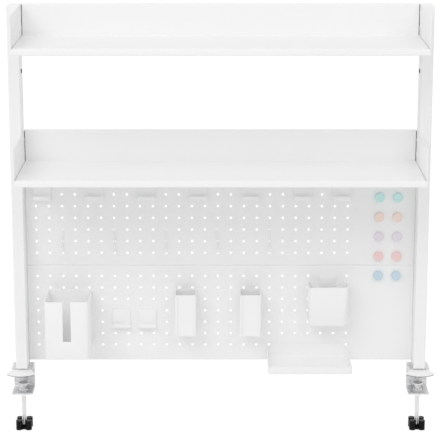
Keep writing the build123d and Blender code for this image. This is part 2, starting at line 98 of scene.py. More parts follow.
def pick(obj, kind, test):
    """Selects only the vertices, edges or faces that pass the test, and counts them."""
    bpy.ops.mesh.select_mode(type=kind)
    bpy.ops.mesh.select_all(action="DESELECT")
    mesh = bmesh.from_edit_mesh(obj.data)
    parts = {"VERT": mesh.verts, "EDGE": mesh.edges, "FACE": mesh.faces}[kind]
    found = [part for part in parts if test(part)]
    for part in found:
        part.select_set(True)
    mesh.select_flush_mode()
    bmesh.update_edit_mesh(obj.data)
    return len(found)


def facing(axis, sign, level=None):
    """A test for faces that look along an axis, at a given level if one is named."""
    def test(face):
        level_fits = level is None or abs(face.calc_center_median()[axis] - level) < 0.05 * MM
        return face.normal[axis] * sign > 0.9995 and level_fits
    return test


def upright(edge):
    """A test for edges that run along Z."""
    a, b = (vertex.co for vertex in edge.verts)
    return abs((a - b).normalized().z) > 0.9


def apply_modifiers(obj):
    only(obj)
    for modifier in list(obj.modifiers):
        bpy.ops.object.modifier_apply(modifier=modifier.name)


def soften(obj, width, segments):
    """Rounds every sharp edge, with a width in millimetres."""
    bevel = obj.modifiers.new("soft edges", "BEVEL")
    bevel.width = width * MM
    bevel.segments = segments
    bevel.limit_method = "ANGLE"
    bevel.angle_limit = SHARP_ABOVE
    apply_modifiers(obj)


def carve(obj, cutter, how="DIFFERENCE"):
    """Cuts one solid out of another, or joins them into one skin, and removes the tool."""
    boolean = obj.modifiers.new("carve", "BOOLEAN")
    boolean.operation = how
    boolean.solver = "EXACT"
    boolean.object = cutter
    apply_modifiers(obj)
    bpy.data.objects.remove(cutter)


def add_box(low, high):
    """A cube primitive stretched between two corners, in millimetres."""
    bpy.ops.object.select_all(action="DESELECT")
    middle = [MM * (a + b) / 2 for a, b in zip(low, high)]
    size = [MM * abs(b - a) for a, b in zip(low, high)]
    bpy.ops.mesh.primitive_cube_add(size=1, location=middle, scale=size)
    return bpy.context.object


def add_disc(radius, start, end, sides):
    """A cylinder primitive between two points on a line along one axis, in millimetres."""
    bpy.ops.object.select_all(action="DESELECT")
    middle = [MM * (a + b) / 2 for a, b in zip(start, end)]
    spans = [MM * abs(b - a) for a, b in zip(start, end)]
    axis = spans.index(max(spans))
    turn = [(0, math.pi / 2, 0), (math.pi / 2, 0, 0), (0, 0, 0)][axis]
    bpy.ops.mesh.primitive_cylinder_add(
        vertices=sides, radius=radius * MM, depth=spans[axis], location=middle, rotation=turn
    )
    return bpy.context.object


def join(first, *others):
    only(first, *others)
    bpy.ops.object.join()
    return first


def copy_of(obj, move):
    """A copy with a mesh of its own, moved as asked in millimetres."""
    edit(obj)
    only(obj)
    twin = bpy.data.objects.new(f"{obj.name}_copy", obj.data.copy())
    bpy.context.scene.collection.objects.link(twin)
    edit(twin)
    bpy.ops.mesh.select_all(action="SELECT")
    bpy.ops.transform.translate(value=metres(move))
    only(twin)
    return twin


def dress(obj, name, body, slot, finish, *nodes):
    """Names a finished piece, gives it its finish and its body, and takes its CAD node's place."""
    edit(obj)
    bpy.ops.mesh.select_all(action="SELECT")
    bpy.ops.mesh.remove_doubles(threshold=MERGE_WITHIN)
    bpy.ops.mesh.normals_make_consistent(inside=False)
    bpy.ops.mesh.select_all(action="DESELECT")
    bpy.ops.mesh.select_mode(type="EDGE")
    bpy.ops.mesh.select_non_manifold()
    loose = sum(edge.select for edge in bmesh.from_edit_mesh(obj.data).edges)
    only(obj)
    bpy.ops.object.shade_smooth_by_angle(angle=SMOOTH_BELOW)
    obj.name = obj.data.name = name
    obj.data.materials.clear()
    obj.data.materials.append(finish)
    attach(obj, body)
    if nodes:
        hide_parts(*nodes)
    print(name, len(obj.data.polygons), "faces,", loose, "open edges")


def dress_pair(left, across, name, body, slot, finish, node):
    """Dresses a left piece and its copy on the right. The body's name may hold {} for the side."""
    right = copy_of(left, (across, 0, 0))
    for side, obj in (("left", left), ("right", right)):
        dress(obj, f"{side}_{name}", body.format(side), slot, finish, f"{side}_{node}")


print("tools ready")

# %% [markdown]
# ## Shader maths as plain expressions
#
# A material is a graph of nodes. Wiring Math nodes by hand is slow to read, so `Value` wraps one
# socket and turns `a * 2 + b` into nodes. `Recipe` holds one material and adds any other node.

# %% A small way to write materials
class Value:
    """One output socket, with the arithmetic that the finishes use."""

    def __init__(self, recipe, socket):
        self.recipe = recipe
        self.socket = socket

    def math(self, operation, first, second):
        inputs = {0: first, 1: second}
        return self.recipe.node("ShaderNodeMath", {"operation": operation}, inputs)

    def __add__(self, other):
        return self.math("ADD", self, other)

    def __radd__(self, other):
        return self.math("ADD", other, self)

    def __mul__(self, other):
        return self.math("MULTIPLY", self, other)

    def __rmul__(self, other):
        return self.math("MULTIPLY", other, self)


class Recipe:
    """One material, built around a Principled shader."""

    def __init__(self, name, **constants):
        self.material = bpy.data.materials.new(name)
        self.material.use_nodes = True
        self.tree = self.material.node_tree
        self.shader = self.tree.nodes["Principled BSDF"]
        for socket, value in constants.items():
            self.shader.inputs[socket.replace("_", " ")].default_value = value

    def node(self, kind, settings=None, inputs=None, output=0):
        """Adds any node. Settings are set first, then each input gets a value or a link."""
        made = self.tree.nodes.new(kind)
        for key, value in (settings or {}).items():
            setattr(made, key, value)
        for key, value in (inputs or {}).items():
            if isinstance(value, Value):
                self.tree.links.new(value.socket, made.inputs[key])
            else:
                made.inputs[key].default_value = value
        return Value(self, made.outputs[output])

    def place(self, squeeze=(1, 1, 1)):
        """The point on the piece, in metres. Above 1, squeeze packs a pattern closer on an axis."""
        point = self.node("ShaderNodeTexCoord", output="Object")
        return self.node("ShaderNodeMapping", {}, {"Vector": point, "Scale": squeeze})

    def noise(self, scale, detail=2.0, squeeze=(1, 1, 1)):
        inputs = {"Vector": self.place(squeeze), "Scale": scale, "Detail": detail}
        return self.node("ShaderNodeTexNoise", {}, inputs, "Fac")

    def cells(self, scale):
        inputs = {"Vector": self.place(), "Scale": scale}
        return self.node("ShaderNodeTexVoronoi", {"feature": "F1"}, inputs, "Color")

    def mix(self, factor, first, second):
        """A colour between two colours."""
        settings = {"data_type": "RGBA", "clamp_factor": True}
        inputs = {0: factor, 6: (*first, 1), 7: (*second, 1)}
        return self.node("ShaderNodeMix", settings, inputs, 2)

    def feed(self, socket, value):
        self.tree.links.new(value.socket, self.shader.inputs[socket])

    def bump(self, height, strength, distance):
        inputs = {"Height": height, "Strength": strength, "Distance": distance}
        self.feed("Normal", self.node("ShaderNodeBump", {}, inputs))


print("recipe tools ready")

# %% [markdown]
# ## The finishes
#
# The frame is steel with a white powder coat: a satin skin with a very fine orange-peel ripple.
# Noise at about a millimetre gives the ripple, and slower noise shifts tone and gloss slightly,
# because a real coat is never perfectly even. The plastics are smoother and a little cooler. A noise
# scale counts waves in a metre, so 900 gives ripples of about a millimetre.

# %% White finishes
def coated_white(name, light, shade, roughness, ripple, strength):
    recipe = Recipe(name, IOR=1.5)
    tone = recipe.noise(9.0, 3.0)
    gloss = recipe.noise(45.0, 3.0)
    recipe.feed("Base Color", recipe.mix(tone, shade, light))
    recipe.feed("Roughness", gloss * 0.1 + (roughness - 0.05))
    recipe.bump(recipe.noise(ripple), strength, 0.05 * MM)
    return recipe.material


white_coat = coated_white(
    "white powder coat", light=(0.925, 0.926, 0.926), shade=(0.908, 0.909, 0.91),
    roughness=0.42, ripple=900.0, strength=0.35
)
white_plastic = coated_white(
    "satin white plastic", light=(0.93, 0.932, 0.933), shade=(0.914, 0.917, 0.919),
    roughness=0.36, ripple=1500.0, strength=0.2
)
white_wire_coat = coated_white(
    "white coated wire", light=(0.93, 0.931, 0.931), shade=(0.915, 0.916, 0.917),
    roughness=0.34, ripple=1200.0, strength=0.25
)
print(white_coat.name, white_plastic.name, white_wire_coat.name)

# %% [markdown]
# The clamp straps are bare galvanised steel. Zinc freezes in flat patches that each mirror the room
# a little differently, so Voronoi cells and slow clouds set the tone and the gloss. Turned parts are
# plated, and noise that is squeezed along Z leaves the faint rings of the lathe on them.

# %% Metals
def galvanised(name, light, dark, roughness):
    recipe = Recipe(name, Metallic=1.0)
    patches = recipe.node("ShaderNodeSeparateColor", {}, {0: recipe.cells(260.0)})
    clouds = recipe.noise(60.0, 4.0)
    tone = patches * 0.55 + clouds * 0.45
    recipe.feed("Base Color", recipe.mix(tone, dark, light))
    recipe.feed("Roughness", patches * 0.16 + clouds * 0.1 + (roughness - 0.12))
    recipe.bump(recipe.noise(700.0, 3.0), 0.25, 0.04 * MM)
    return recipe.material


def turned_metal(name, light, dark, roughness):
    recipe = Recipe(name, Metallic=1.0)
    rings = recipe.noise(180.0, squeeze=(1, 1, 14))
    recipe.feed("Base Color", recipe.mix(rings, dark, light))
    recipe.feed("Roughness", rings * 0.12 + (roughness - 0.06))
    recipe.bump(recipe.noise(900.0, squeeze=(1, 1, 6)), 0.15, 0.03 * MM)
    return recipe.material


galvanised_strap = galvanised(
    "galvanised strap", light=(0.94, 0.945, 0.95), dark=(0.48, 0.485, 0.49), roughness=0.46
)
zinc_plate = turned_metal(
    "zinc plate", light=(0.94, 0.94, 0.935), dark=(0.84, 0.84, 0.84), roughness=0.32
)
dull_zinc = turned_metal(
    "dull zinc", light=(0.92, 0.92, 0.915), dark=(0.8, 0.8, 0.8), roughness=0.55
)
print(galvanised_strap.name, zinc_plate.name, dull_zinc.name)

# %% [markdown]
# Knobs and rubber are black but not flat: moulded plastic has a fine spark-eroded grain, and rubber
# sheet is duller and slightly dusty. The spare screws are blackened steel. The insides of the trays'
# seams get painted shade: a near-black colour that stands for the shadow deep in their narrow gaps.

# %% Dark finishes
def dark_finish(name, light, dark, roughness, grain, strength, metallic=0.0, shine=0.5):
    recipe = Recipe(name, Metallic=metallic, Specular_IOR_Level=shine)
    clouds = recipe.noise(70.0, 4.0)
    recipe.feed("Base Color", recipe.mix(clouds, dark, light))
    recipe.feed("Roughness", clouds * 0.16 + (roughness - 0.08))
    recipe.bump(recipe.noise(grain), strength, 0.05 * MM)
    return recipe.material


black_plastic = dark_finish(
    "black moulded plastic", light=(0.006, 0.006, 0.007), dark=(0.003, 0.003, 0.004),
    roughness=0.3, grain=1600.0, strength=0.3, shine=0.12
)
black_rubber = dark_finish(
    "black rubber sheet", light=(0.06, 0.06, 0.06), dark=(0.035, 0.035, 0.035),
    roughness=0.75, grain=1100.0, strength=0.4
)
black_steel = dark_finish(
    "blackened steel", light=(0.13, 0.13, 0.132), dark=(0.08, 0.08, 0.082),
    roughness=0.4, grain=1300.0, strength=0.2, metallic=0.6
)
# Painted shade for the trays' seams: near-black, standing for the shadow inside the narrow gaps.
painted_seam_shade = dark_finish(
    "painted seam shade", light=(0.09, 0.09, 0.092), dark=(0.05, 0.05, 0.052),
    roughness=0.8, grain=900.0, strength=0.3
)
print(black_plastic.name, black_rubber.name, black_steel.name, painted_seam_shade.name)

# %% [markdown]
# The magnets have smooth plastic shells in five pale colours. A pale shell lets a little light
# into itself, which shows as a soft cloudiness, so the tone moves gently across each disc.

# %% Magnet colours
MAGNET_TONES = {
    "teal": (0.6, 0.88, 0.86),
    "peach": (0.94, 0.77, 0.69),
    "lilac": (0.83, 0.77, 0.85),
    "red": (0.93, 0.67, 0.66),
    "blue": (0.6, 0.74, 0.83),
}


def magnet_shell(colour, tone):
    recipe = Recipe(f"{colour} shell", IOR=1.5)
    deeper = tuple(0.93 * part for part in tone)
    recipe.feed("Base Color", recipe.mix(recipe.noise(120.0), deeper, tone))
    recipe.feed("Roughness", recipe.noise(200.0) * 0.08 + 0.22)
    recipe.bump(recipe.noise(500.0), 0.1, 0.03 * MM)
    return recipe.material


magnet_shells = {colour: magnet_shell(colour, tone) for colour, tone in MAGNET_TONES.items()}
print(sorted(magnet_shells))

# %% [markdown]
# ## Finishes for the parts that stay as the CAD made them
#
# The posts and the pegboard panels are plain sheet metal, and their CAD meshes already have their
# bends and holes, so they only need a coat. So do the caps, the desk pads and the few parts that are
# out of sight.

# %% Coat the frame
def coat(finish, *names):
    for name in names:
        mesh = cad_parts[name].data
        mesh.materials.clear()
        mesh.materials.append(finish)
    print(finish.name, "on", ", ".join(names))


coat(white_coat, "left_post", "right_post", "upper_pegboard", "lower_pegboard")
coat(white_plastic, "post_caps")
coat(galvanised_strap, "foot_blocks")
coat(zinc_plate, "clamp_bolts", "pegboard_screws")
coat(black_rubber, "desk_pads")

# %% [markdown]
# ## Where things are
#
# The CAD model sets every place, so `reach` measures its nodes. The pegboard is a grid, so a column
# and a row give the middle of any hole, and whatever hangs there is placed from it. Millimetres keep
# the numbers readable.

# %% Places from the CAD model
def reach(node, axis):
    """How far a CAD node reaches along an axis, low and high, in millimetres."""
    places = [vertex.co[axis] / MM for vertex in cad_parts[node].data.vertices]
    return round(min(places), 3), round(max(places), 3)


SIDES = {"left": -1, "right": 1}
POST_INSIDE, POST_OUTSIDE = reach("right_post", 0)
POST_X = (POST_INSIDE + POST_OUTSIDE) / 2
POST_GAP = 2 * POST_X
SCREW_Y = -24.0
BOARD_FRONT = reach("upper_pegboard", 1)[0]
STAND_OFF = 0.3
HOLDER_BACK = BOARD_FRONT - STAND_OFF
TRAY_END = reach("upper_shelf_tray", 0)[1]
TRAY_WALL = 67.0
SHELF_FLOORS = {
    level: reach(f"{level}_shelf_tray", 2)[1] - TRAY_WALL for level in ("upper", "lower")
}
HOLE_STEP_X, HOLE_STEP_Z = 28.0, 26.0
FIRST_COLUMN = -397.5
LOWER_BOARD_ROWS = 7
LOWER_FIRST_ROW, UPPER_FIRST_ROW = 49.5, 257.5


def column_x(index):
    return FIRST_COLUMN + HOLE_STEP_X * index


def row_z(index):
    """Rows count upwards, from the lower panel's first row on into the upper panel."""
    if index < LOWER_BOARD_ROWS:
        return LOWER_FIRST_ROW + HOLE_STEP_Z * index
    return UPPER_FIRST_ROW + HOLE_STEP_Z * (index - LOWER_BOARD_ROWS)


def between_columns(first, last):
    return (column_x(first) + column_x(last)) / 2


print("posts at", POST_X, "floors at", SHELF_FLOORS)
print("first hole", column_x(0), row_z(0), "last hole", column_x(24), row_z(13))

# %% [markdown]
# ## Folded sheet with soft edges
#
# Real sheet has no razor edges: deburring and the thick powder coat round every rim, and that thin
# round catches a bright line. The flat panels keep their CAD shape, so their meshes are copied,
# merged and cleaned, and a small bevel does the rest.

# %% End panels and clamp plates
FLAT_WITHIN = math.radians(0.4)


def reworked(node):
    """A copy of a CAD mesh with its points joined and its flat faces made whole again."""
    twin = bpy.data.objects.new(f"{node}_copy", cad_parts[node].data.copy())
    bpy.context.scene.collection.objects.link(twin)
    edit(twin)
    bpy.ops.mesh.select_all(action="SELECT")
    bpy.ops.mesh.remove_doubles(threshold=2 * MERGE_WITHIN)
    bpy.ops.mesh.dissolve_limited(angle_limit=FLAT_WITHIN)
    bpy.ops.mesh.normals_make_consistent(inside=False)
    only(twin)
    return twin


for side in SIDES:
    for level in SHELF_FLOORS:
        node = f"{level}_{side}_end_panel"
        panel = reworked(node)
        soften(panel, 0.4, 3)
        dress(panel, f"{node}_soft", "shelf_unit", "white_paint", white_coat, node)
    node = f"{side}_clamp_plate"
    plate = reworked(node)
    soften(plate, 0.5, 3)
    dress(plate, f"{node}_soft", "shelf_unit", "white_paint", white_coat, node)

# %% [markdown]
# ## The shelf trays and their seams
#
# Each tray is one bent sheet that drops between two end panels. Its back wall stops a little short
# of them, so a deep seam runs up each corner, and a finer one runs along each end of the
# floor. The seams are carved into the sheet, and their insides get painted shade, a near-black
# colour that stands for the shadow there, because little light gets in.

# %% Trays
WALL_SEAM, FLOOR_SEAM = 1.5, 0.6
SEAM_DEPTH = 0.9
SEAM_FRONT = -203.0
CUT_PAST = 0.5
LEFT_WHOLE, LEFT_ON_TOP = 0.6, 1.6


def seam_slots(floor):
    """Low and high corners of the four slots of one tray, in millimetres."""
    wall_foot, wall_head = floor + LEFT_WHOLE, floor + TRAY_WALL - LEFT_ON_TOP
    slots = []
    for sign in SIDES.values():
        outer = sign * (TRAY_END + CUT_PAST)
        wall = sign * (TRAY_END - WALL_SEAM)
        edge = sign * (TRAY_END - FLOOR_SEAM)
        slots.append((
            (min(wall, outer), BOARD_FRONT - CUT_PAST, wall_foot),
            (max(wall, outer), BOARD_FRONT + SEAM_DEPTH, wall_head),
        ))
        slots.append((
            (min(edge, outer), SEAM_FRONT, floor - SEAM_DEPTH),
            (max(edge, outer), BOARD_FRONT - LEFT_WHOLE, floor + CUT_PAST),
        ))
    return slots


def inside_any(boxes):
    """A test for faces whose middle lies in one of the boxes."""
    def test(face):
        middle = face.calc_center_median() / MM
        return any(
            all(a - 0.02 < m < b + 0.02 for a, m, b in zip(low, middle, high))
            for low, high in boxes
        )
    return test


for level, floor_z in SHELF_FLOORS.items():
    node = f"{level}_shelf_tray"
    shelf = reworked(node)
    for low, high in seam_slots(floor_z):
        carve(shelf, add_box(low, high))
    dress(shelf, f"{node}_seamed", "shelf_unit", "white_paint", white_coat, node)
    # The seam faces get the painted shade as a second material.
    shelf.data.materials.append(painted_seam_shade)
    edit(shelf)
    count = pick(shelf, "FACE", inside_any(seam_slots(floor_z)))
    shelf.active_material_index = 1
    bpy.ops.object.material_slot_assign()
    only(shelf)
    print(node, "has", count, "seam faces")

# %% [markdown]
# ## Bent strips
#
# A strip starts as one face. Drawing it out makes a straight run, and spinning it round the middle
# of a bend makes the bend, just as a press brake folds a blank. The clamp strap is three runs and
# two bends of 3 mm steel with a hole for the nut. The arms' heights and the spine's place are those
# of the middle of the sheet.

# %% Clamp straps
STRAP_WIDTH, STRAP_SHEET = 45.0, 3.0
STRAP_BEND = 3.0
UPPER_ARM_FRONT, UPPER_ARM_Z = -44.0, 6.0
LOWER_ARM_FRONT, LOWER_ARM_Z = -50.0, -49.5
SPINE_Y = 1.5
NUT_RADIUS = 7.0
EASE = 0.05


def strip_end(middle, width, thickness, faces_back=False):
    """The first face of a strip, flat, or upright so that the strip runs to the back."""
    bpy.ops.object.select_all(action="DESELECT")
    turn = (math.pi / 2, 0, 0) if faces_back else (0, 0, 0)
    bpy.ops.mesh.primitive_plane_add(size=1, location=metres(middle), rotation=turn)
    strip = bpy.context.object
    strip.scale = metres((width, thickness, 1))
    edit(strip)
    bpy.ops.mesh.select_all(action="SELECT")
    return strip


def run(*move):
    bpy.ops.mesh.extrude_region_move(TRANSFORM_OT_translate={"value": metres(move)})


def bend(y, z, degrees=90, steps=6):
    """Turns the leading face round a line along X, forward when the angle is positive."""
    bpy.ops.mesh.spin(
        steps=steps, angle=math.radians(degrees), center=metres((0, y, z)), axis=(1, 0, 0)
    )


def clamp_strap(x):
    start = (x, UPPER_ARM_FRONT, UPPER_ARM_Z)
    bend_y = SPINE_Y - STRAP_BEND
    upper_bend_z = UPPER_ARM_Z - STRAP_BEND
    lower_bend_z = LOWER_ARM_Z + STRAP_BEND
    strap = strip_end(start, STRAP_WIDTH, STRAP_SHEET, faces_back=True)
    run(0, bend_y - UPPER_ARM_FRONT, 0)
    bend(bend_y, upper_bend_z)
    run(0, 0, lower_bend_z - upper_bend_z)
    bend(bend_y, lower_bend_z)
    run(0, LOWER_ARM_FRONT - bend_y, 0)
    only(strap)
    below, above = LOWER_ARM_Z - 2.5, LOWER_ARM_Z + 2.5
    carve(strap, add_disc(NUT_RADIUS + EASE, (x, SCREW_Y, below), (x, SCREW_Y, above), 40))
    soften(strap, 0.45, 3)
    return strap


dress_pair(clamp_strap(-POST_X), POST_GAP, "strap", "shelf_unit", "zinc", galvanised_strap,
           "clamp_bracket")

# %% [markdown]
# ## The clamp screw
#
# An M10 rod has a thread that rises 1.5 mm a turn. The core is a plain bar, and the thread is a
# small section swept round it by the Screw modifier. A pin on top turns in the swivel plate.

# %% Threaded rods
THREAD_PITCH = 1.5
THREAD_MIDDLE, THREAD_DEPTH, THREAD_FOOT = 4.5, 1.0, 1.3
THREAD_START = 0.9
CORE_RADIUS, PIN_RADIUS, PIN_LENGTH = 4.2, 3.5, 5.8
ROD_LOW, PIN_TOP = reach("left_clamp_screw", 2)
ROD_TOP = PIN_TOP - PIN_LENGTH


def threaded_rod(x):
    core = add_disc(CORE_RADIUS, (x, SCREW_Y, ROD_LOW), (x, SCREW_Y, ROD_TOP), 32)
    soften(core, 0.5, 1)
    pin = add_disc(PIN_RADIUS, (x, SCREW_Y, ROD_TOP - 1), (x, SCREW_Y, PIN_TOP), 32)
    soften(pin, 0.4, 2)
    bpy.ops.object.select_all(action="DESELECT")
    bpy.ops.mesh.primitive_plane_add(
        size=1, location=metres((THREAD_MIDDLE, 0, 0)), rotation=(math.pi / 2, 0, 0)
    )
    thread = bpy.context.object
    thread.scale = metres((THREAD_DEPTH, THREAD_FOOT, 1))
    edit(thread)
    pick(thread, "VERT", lambda vertex: vertex.co.x > THREAD_MIDDLE * MM)
    bpy.ops.transform.resize(value=(1, 1, 0.2))
    only(thread)
    turns = int((ROD_TOP - ROD_LOW - 2.5) / THREAD_PITCH)
    screw = thread.modifiers.new("thread", "SCREW")
    screw.axis = "Z"
    screw.angle = 2 * math.pi
    screw.screw_offset = THREAD_PITCH * MM
    screw.iterations = turns
    screw.steps = screw.render_steps = 18
    apply_modifiers(thread)
    edit(thread)
    bpy.ops.mesh.select_all(action="SELECT")
    bpy.ops.mesh.fill_holes(sides=6)
    bpy.ops.transform.translate(value=metres((x, SCREW_Y, ROD_LOW + THREAD_START)))
    only(thread)
    return join(core, pin, thread)


dress_pair(threaded_rod(-POST_X), POST_GAP, "rod", "{}_screw_and_knob", "zinc", zinc_plate,
           "clamp_screw")

# %% [markdown]
# The knob is moulded on the rod: four upright lobes for the fingers round a lower hub, so the bright
# rod can be seen going down between them. Every edge is generously rounded to be kind to the hand.

# %% Knobs
HUB_RADIUS, HUB_HEIGHT = 12.0, 7.0
LOBE_REACH, LOBE_RADIUS, LOBE_HEIGHT = 14.3, 7.2, 21.0
COLLAR_RADIUS, COLLAR_TOP = 7.5, 9.0
ROD_BORE = 5.0 + EASE
LOBE_TURNS = (45, 135, 225, 315)


def clamp_knob(x):
    knob = add_disc(HUB_RADIUS, (x, SCREW_Y, ROD_LOW), (x, SCREW_Y, ROD_LOW + HUB_HEIGHT), 48)
    for turn in LOBE_TURNS:
        lobe_x = x + LOBE_REACH * math.cos(math.radians(turn))
        lobe_y = SCREW_Y + LOBE_REACH * math.sin(math.radians(turn))
        foot, head = (lobe_x, lobe_y, ROD_LOW), (lobe_x, lobe_y, ROD_LOW + LOBE_HEIGHT)
        carve(knob, add_disc(LOBE_RADIUS, foot, head, 32), "UNION")
    foot, head = (x, SCREW_Y, ROD_LOW + 1.0), (x, SCREW_Y, ROD_LOW + COLLAR_TOP)
    carve(knob, add_disc(COLLAR_RADIUS, foot, head, 32), "UNION")
    below, above = (x, SCREW_Y, ROD_LOW - 1.0), (x, SCREW_Y, ROD_LOW + COLLAR_TOP + 1.0)
    carve(knob, add_disc(ROD_BORE, below, above, 32))
    soften(knob, 1.2, 4)
    return knob


dress_pair(clamp_knob(-POST_X), POST_GAP, "knob", "{}_screw_and_knob", "black_plastic",
           black_plastic, "clamp_knob")

# %% [markdown]
# The swivel plate presses on the desk from below and stays still while the rod turns in its socket.
# Its upper face is sunk a little inside the ring that grips, and its edges are rounded. The nut is
# a flanged one, set into the strap's arm from above.

# %% Swivel plates and nuts
SWIVEL_RADIUS, SWIVEL_THICK = 11.0, 2.5
SOCKET_LOW, SWIVEL_TOP = reach("left_swivel_plate", 2)
SOCKET_RADIUS = 7.0
NUT_LOW, NUT_TOP = reach("clamp_nuts", 2)
FLANGE_RADIUS, FLANGE_THICK = 9.5, 2.0


def swivel_plate(x):
    underside = SWIVEL_TOP - SWIVEL_THICK
    plate = add_disc(SWIVEL_RADIUS, (x, SCREW_Y, underside), (x, SCREW_Y, SWIVEL_TOP), 48)
    edit(plate)
    pick(plate, "FACE", facing(2, 1))
    bpy.ops.mesh.inset(thickness=1.8 * MM)
    bpy.ops.mesh.inset(thickness=0.6 * MM, depth=-0.5 * MM)
    pick(plate, "FACE", facing(2, -1))
    bpy.ops.mesh.inset(thickness=(SWIVEL_RADIUS - SOCKET_RADIUS) * MM)
    run(0, 0, SOCKET_LOW - underside)
    only(plate)
    below, above = (x, SCREW_Y, SOCKET_LOW - 1.0), (x, SCREW_Y, underside - 0.1)
    carve(plate, add_disc(PIN_RADIUS + EASE, below, above, 32))
    soften(plate, 0.4, 2)
    return plate


def flanged_nut(x):
    nut = add_disc(NUT_RADIUS, (x, SCREW_Y, NUT_LOW), (x, SCREW_Y, NUT_TOP - 1.0), 40)
    seat, top = (x, SCREW_Y, NUT_TOP - FLANGE_THICK), (x, SCREW_Y, NUT_TOP)
    carve(nut, add_disc(FLANGE_RADIUS, seat, top, 40), "UNION")
    below, above = (x, SCREW_Y, NUT_LOW - 1.0), (x, SCREW_Y, NUT_TOP + 1.0)
    carve(nut, add_disc(ROD_BORE, below, above, 32))
    soften(nut, 0.45, 2)
    return nut


dress_pair(swivel_plate(-POST_X), POST_GAP, "swivel_disc", "{}_swivel", "zinc", dull_zinc,
           "swivel_plate")
nut = flanged_nut(-POST_X)
join(nut, copy_of(nut, (POST_GAP, 0, 0)))
dress(nut, "flanged_nuts", "shelf_unit", "zinc", zinc_plate, "clamp_nuts")

# %% [markdown]
# ## Screws and rivets
#
# Low button-head screws hold the shelves: a flat dome with a hex socket. Their heads face inward,
# and the rivets' domes face outward. One of each is made for either side and copied to the other
# places. A spare screw sits straight on each post, so it is further out by an end panel's sheet.

# %% Button-head screws
SCREW_MIDDLE_Y = sum(reach("right_post", 1)) / 2
FIRST_SCREW_RISE = 18.5
SCREW_GAP = 30.0
SHELF_GAP = SHELF_FLOORS["upper"] - SHELF_FLOORS["lower"]
SPARE_SCREW_Z = 658.0
HEAD_RADIUS, HEAD_HEIGHT, HEAD_ROUND = 4.75, 1.6, 1.2
SHANK_RADIUS, SHANK_LENGTH = 2.5, 12.0
HEX_RADIUS, HEX_DEPTH = 1.75, 1.0


def along_x(radius, start, end, y, z, sides):
    """A cylinder along X between two places."""
    return add_disc(radius, (start, y, z), (end, y, z), sides)


def button_screw(face_x, z, sign):
    """A screw with its head on the inner side of face_x, where sign is -1 on the left."""
    y = SCREW_MIDDLE_Y
    tip = face_x - sign * HEAD_HEIGHT
    head = along_x(HEAD_RADIUS, tip, face_x, y, z, 40)
    edit(head)
    pick(head, "FACE", facing(0, -sign))
    bpy.ops.mesh.region_to_loop()
    bpy.ops.mesh.bevel(offset=HEAD_ROUND * MM, segments=5, affect="EDGES")
    only(head)
    carve(head, along_x(HEX_RADIUS, tip - sign * HEX_DEPTH, tip + sign * HEX_DEPTH, y, z, 6))
    start, end = face_x - sign * 0.2, face_x + sign * SHANK_LENGTH
    shank = along_x(SHANK_RADIUS, start, end, y, z, 24)
    soften(shank, 0.4, 1)
    return join(head, shank)


shelf_screws = []
spare_screws = []
for sign in SIDES.values():
    first_z = SHELF_FLOORS["lower"] + FIRST_SCREW_RISE
    first = button_screw(sign * TRAY_END, first_z, sign)
    shelf_screws.append(first)
    for rise in (SCREW_GAP, SHELF_GAP, SHELF_GAP + SCREW_GAP):
        shelf_screws.append(copy_of(first, (0, 0, rise)))
    outward = sign * (POST_INSIDE - TRAY_END)
    spare_screws.append(copy_of(first, (outward, 0, SPARE_SCREW_Z - first_z)))
dress(join(*shelf_screws), "shelf_screw_set", "shelf_unit", "white_paint", white_coat,
      "shelf_screws")
dress(join(*spare_screws), "spare_screw_set", "shelf_unit", "black_paint", black_steel,
      "spare_hole_screws")

# %% Rivets
RIVET_FIRST_Y, RIVET_GAP_Y = -61.0, 66.0
RIVET_DROP = 7.1
RIVET_HEAD_RADIUS, RIVET_HEAD_HEIGHT, RIVET_ROUND = 3.6, 1.2, 0.9
RIVET_SHANK_RADIUS, RIVET_SHANK_START = 2.0, 417.0
RIVET_TAIL_RADIUS, RIVET_TAIL_START, RIVET_TAIL_END = 3.0, 415.8, 417.3


def rivet(sign, y, z):
    """A blind rivet: a dome outside, with the dimple its mandrel leaves, and a set tail inside."""
    head_end = sign * (POST_INSIDE + RIVET_HEAD_HEIGHT)
    head = along_x(RIVET_HEAD_RADIUS, sign * POST_INSIDE, head_end, y, z, 32)
    edit(head)
    pick(head, "FACE", facing(0, sign))
    bpy.ops.mesh.region_to_loop()
    bpy.ops.mesh.bevel(offset=RIVET_ROUND * MM, segments=4, affect="EDGES")
    pick(head, "FACE", facing(0, sign))
    bpy.ops.mesh.inset(thickness=1.5 * MM)
    bpy.ops.mesh.inset(thickness=0.2 * MM, depth=-0.6 * MM)
    only(head)
    shank_end = sign * (POST_INSIDE + 0.2)
    shank = along_x(RIVET_SHANK_RADIUS, sign * RIVET_SHANK_START, shank_end, y, z, 20)
    tail_end = sign * RIVET_TAIL_END
    tail = along_x(RIVET_TAIL_RADIUS, sign * RIVET_TAIL_START, tail_end, y, z, 24)
    soften(tail, 0.5, 2)
    return join(head, shank, tail)


rivets = []
for sign in SIDES.values():
    first = rivet(sign, RIVET_FIRST_Y, SHELF_FLOORS["lower"] - RIVET_DROP)
    for rise in (0.0, SHELF_GAP):
        for step in (0.0, -RIVET_GAP_Y, -2 * RIVET_GAP_Y):
            if rise or step:
                rivets.append(copy_of(first, (0, step, rise)))
    rivets.append(first)
dress(join(*rivets), "rivet_set", "shelf_unit", "white_paint", white_coat, "shelf_rivets")

# %% [markdown]
# ## Hooks
#
# The wide hooks are moulded J shapes, one strip with two bends, and stand off the board by a hair.
# Four short pegs on the back go through the holes. One hook is made and copied to eight more places.

